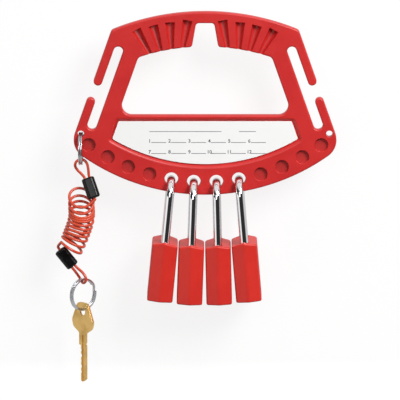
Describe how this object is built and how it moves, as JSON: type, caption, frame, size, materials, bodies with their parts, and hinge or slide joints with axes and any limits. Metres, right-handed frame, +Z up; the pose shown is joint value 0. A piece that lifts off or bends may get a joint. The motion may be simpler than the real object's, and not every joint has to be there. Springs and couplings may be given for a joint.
{
  "type": "safety padlock carrier",
  "caption": "Red plastic lock-out carrier plate with grip, side slots and write-on label, holding keyed safety padlocks, with a key on a curly cord.",
  "frame": {"origin": "middle of the flat top of the notch in the grip, at half the plate thickness, where the hook bears", "axes": "+Z up as it hangs, +X to the right and +Y to the back for someone who reads the label"},
  "size_m": [0.2119, 0.038, 0.285],
  "materials": {
    "carrier_plastic": "satin moulded red plastic",
    "label_card": "off-white write-on card under a satin film",
    "padlock_plastic": "satin moulded red plastic",
    "shackle_chrome": "polished chrome plate",
    "case_zinc": "die-cast zinc",
    "plug_brass": "turned brass",
    "pin_steel": "ground steel",
    "ring_steel": "nickel-plated steel",
    "cord_plastic": "glossy red plastic cord",
    "ferrule_plastic": "glossy black plastic",
    "key_brass": "satin brass"
  },
  "bodies": {
    "carrier": {"carrier_plate": "carrier_plastic", "write_on_label": "label_card"},
    "padlock_1_shackle": {"padlock_1_shackle": "shackle_chrome"},
    "padlock_1_body": {"padlock_1_lock_body": "padlock_plastic", "padlock_1_base_cover": "padlock_plastic", "padlock_1_lock_case": "case_zinc", "padlock_1_heel_retainer": "pin_steel", "padlock_1_shackle_spring": "pin_steel"},
    "padlock_1_plug": {"padlock_1_key_plug": "plug_brass", "padlock_1_cam": "pin_steel"},
    "padlock_1_front_ball": {"padlock_1_front_ball": "pin_steel"},
    "padlock_1_rear_ball": {"padlock_1_rear_ball": "pin_steel"},
    "padlock_2_shackle": {"padlock_2_shackle": "shackle_chrome"},
    "padlock_2_body": {"padlock_2_lock_body": "padlock_plastic", "padlock_2_base_cover": "padlock_plastic", "padlock_2_lock_case": "case_zinc", "padlock_2_heel_retainer": "pin_steel", "padlock_2_shackle_spring": "pin_steel"},
    "padlock_2_plug": {"padlock_2_key_plug": "plug_brass", "padlock_2_cam": "pin_steel"},
    "padlock_2_front_ball": {"padlock_2_front_ball": "pin_steel"},
    "padlock_2_rear_ball": {"padlock_2_rear_ball": "pin_steel"},
    "padlock_3_shackle": {"padlock_3_shackle": "shackle_chrome"},
    "padlock_3_body": {"padlock_3_lock_body": "padlock_plastic", "padlock_3_base_cover": "padlock_plastic", "padlock_3_lock_case": "case_zinc", "padlock_3_heel_retainer": "pin_steel", "padlock_3_shackle_spring": "pin_steel"},
    "padlock_3_plug": {"padlock_3_key_plug": "plug_brass", "padlock_3_cam": "pin_steel"},
    "padlock_3_front_ball": {"padlock_3_front_ball": "pin_steel"},
    "padlock_3_rear_ball": {"padlock_3_rear_ball": "pin_steel"},
    "padlock_4_shackle": {"padlock_4_shackle": "shackle_chrome"},
    "padlock_4_body": {"padlock_4_lock_body": "padlock_plastic", "padlock_4_base_cover": "padlock_plastic", "padlock_4_lock_case": "case_zinc", "padlock_4_heel_retainer": "pin_steel", "padlock_4_shackle_spring": "pin_steel"},
    "padlock_4_plug": {"padlock_4_key_plug": "plug_brass", "padlock_4_cam": "pin_steel"},
    "padlock_4_front_ball": {"padlock_4_front_ball": "pin_steel"},
    "padlock_4_rear_ball": {"padlock_4_rear_ball": "pin_steel"},
    "upper_ring": {"upper_ring": "ring_steel"},
    "lanyard": {"upper_cord_loop": "cord_plastic", "upper_ferrule": "ferrule_plastic", "cord_coil": "cord_plastic", "lower_ferrule": "ferrule_plastic", "lower_cord_loop": "cord_plastic"},
    "lower_ring": {"lower_ring": "ring_steel"},
    "key": {"key": "key_brass"}
  },
  "joints": [
    {"name": "padlock_1_swing", "type": "hinge", "parent": "carrier", "child": "padlock_1_shackle", "pos_m": [-0.02678, 0, -0.13295], "axis": [0.9954, 0, -0.0959], "range_deg": [-25, 25]},
    {"name": "padlock_1_open", "type": "slide", "parent": "padlock_1_shackle", "child": "padlock_1_body", "axis": [-0.0959, 0, -0.9954], "range_m": [0, 0.015], "deforming": ["padlock_1_shackle_spring"]},
    {"name": "padlock_1_plug_turn", "type": "hinge", "parent": "padlock_1_body", "child": "padlock_1_plug", "pos_m": [-0.02678, 0, -0.13295], "axis": [0.0959, 0, 0.9954], "range_deg": [0, 90]},
    {"name": "padlock_1_front_ball_draw", "type": "slide", "parent": "padlock_1_body", "child": "padlock_1_front_ball", "axis": [0, 1, 0], "range_m": [0, 0.003]},
    {"name": "padlock_1_rear_ball_draw", "type": "slide", "parent": "padlock_1_body", "child": "padlock_1_rear_ball", "axis": [0, -1, 0], "range_m": [0, 0.003]},
    {"name": "padlock_2_swing", "type": "hinge", "parent": "carrier", "child": "padlock_2_shackle", "pos_m": [-0.00902, 0, -0.13494], "axis": [0.9993, 0, -0.0361], "range_deg": [-25, 25]},
    {"name": "padlock_2_open", "type": "slide", "parent": "padlock_2_shackle", "child": "padlock_2_body", "axis": [-0.0361, 0, -0.9993], "range_m": [0, 0.015], "deforming": ["padlock_2_shackle_spring"]},
    {"name": "padlock_2_plug_turn", "type": "hinge", "parent": "padlock_2_body", "child": "padlock_2_plug", "pos_m": [-0.00902, 0, -0.13494], "axis": [0.0361, 0, 0.9993], "range_deg": [0, 90]},
    {"name": "padlock_2_front_ball_draw", "type": "slide", "parent": "padlock_2_body", "child": "padlock_2_front_ball", "axis": [0, 1, 0], "range_m": [0, 0.003]},
    {"name": "padlock_2_rear_ball_draw", "type": "slide", "parent": "padlock_2_body", "child": "padlock_2_rear_ball", "axis": [0, -1, 0], "range_m": [0, 0.003]},
    {"name": "padlock_3_swing", "type": "hinge", "parent": "carrier", "child": "padlock_3_shackle", "pos_m": [0.00886, 0, -0.13495], "axis": [0.9997, 0, 0.0239], "range_deg": [-25, 25]},
    {"name": "padlock_3_open", "type": "slide", "parent": "padlock_3_shackle", "child": "padlock_3_body", "axis": [0.0239, 0, -0.9997], "range_m": [0, 0.015], "deforming": ["padlock_3_shackle_spring"]},
    {"name": "padlock_3_plug_turn", "type": "hinge", "parent": "padlock_3_body", "child": "padlock_3_plug", "pos_m": [0.00886, 0, -0.13495], "axis": [-0.0239, 0, 0.9997], "range_deg": [0, 90]},
    {"name": "padlock_3_front_ball_draw", "type": "slide", "parent": "padlock_3_body", "child": "padlock_3_front_ball", "axis": [0, 1, 0], "range_m": [0, 0.003]},
    {"name": "padlock_3_rear_ball_draw", "type": "slide", "parent": "padlock_3_body", "child": "padlock_3_rear_ball", "axis": [0, -1, 0], "range_m": [0, 0.003]},
    {"name": "padlock_4_swing", "type": "hinge", "parent": "carrier", "child": "padlock_4_shackle", "pos_m": [0.02662, 0, -0.13296], "axis": [0.9965, 0, 0.0837], "range_deg": [-25, 25]},
    {"name": "padlock_4_open", "type": "slide", "parent": "padlock_4_shackle", "child": "padlock_4_body", "axis": [0.0837, 0, -0.9965], "range_m": [0, 0.015], "deforming": ["padlock_4_shackle_spring"]},
    {"name": "padlock_4_plug_turn", "type": "hinge", "parent": "padlock_4_body", "child": "padlock_4_plug", "pos_m": [0.02662, 0, -0.13296], "axis": [-0.0837, 0, 0.9965], "range_deg": [0, 90]},
    {"name": "padlock_4_front_ball_draw", "type": "slide", "parent": "padlock_4_body", "child": "padlock_4_front_ball", "axis": [0, 1, 0], "range_m": [0, 0.003]},
    {"name": "padlock_4_rear_ball_draw", "type": "slide", "parent": "padlock_4_body", "child": "padlock_4_rear_ball", "axis": [0, -1, 0], "range_m": [0, 0.003]},
    {"name": "upper_ring_swing", "type": "hinge", "parent": "carrier", "child": "upper_ring", "pos_m": [-0.09388, 0, -0.08469], "axis": [0, 1, 0], "range_deg": [-2, 15]},
    {"name": "lanyard_swing", "type": "hinge", "parent": "upper_ring", "child": "lanyard", "pos_m": [-0.09388, 0, -0.10814], "axis": [0, 1, 0], "range_deg": [-8, 8]},
    {"name": "lower_ring_swing", "type": "hinge", "parent": "lanyard", "child": "lower_ring", "pos_m": [-0.0924, 0, -0.19745], "axis": [0.6691, -0.7431, 0], "range_deg": [-10, 10]},
    {"name": "key_swing", "type": "hinge", "parent": "lower_ring", "child": "key", "pos_m": [-0.0924, 0, -0.22065], "axis": [0.7431, 0.6691, 0], "range_deg": [-10, 10]}
  ],
  "couplings": [
    {"joint": "padlock_1_plug_turn", "follows": "padlock_1_open", "rad_per_m": 104.72},
    {"joint": "padlock_1_front_ball_draw", "follows": "padlock_1_open", "ratio": 0.2},
    {"joint": "padlock_1_rear_ball_draw", "follows": "padlock_1_open", "ratio": 0.2},
    {"joint": "padlock_2_plug_turn", "follows": "padlock_2_open", "rad_per_m": 104.72},
    {"joint": "padlock_2_front_ball_draw", "follows": "padlock_2_open", "ratio": 0.2},
    {"joint": "padlock_2_rear_ball_draw", "follows": "padlock_2_open", "ratio": 0.2},
    {"joint": "padlock_3_plug_turn", "follows": "padlock_3_open", "rad_per_m": 104.72},
    {"joint": "padlock_3_front_ball_draw", "follows": "padlock_3_open", "ratio": 0.2},
    {"joint": "padlock_3_rear_ball_draw", "follows": "padlock_3_open", "ratio": 0.2},
    {"joint": "padlock_4_plug_turn", "follows": "padlock_4_open", "rad_per_m": 104.72},
    {"joint": "padlock_4_front_ball_draw", "follows": "padlock_4_open", "ratio": 0.2},
    {"joint": "padlock_4_rear_ball_draw", "follows": "padlock_4_open", "ratio": 0.2}
  ]
}
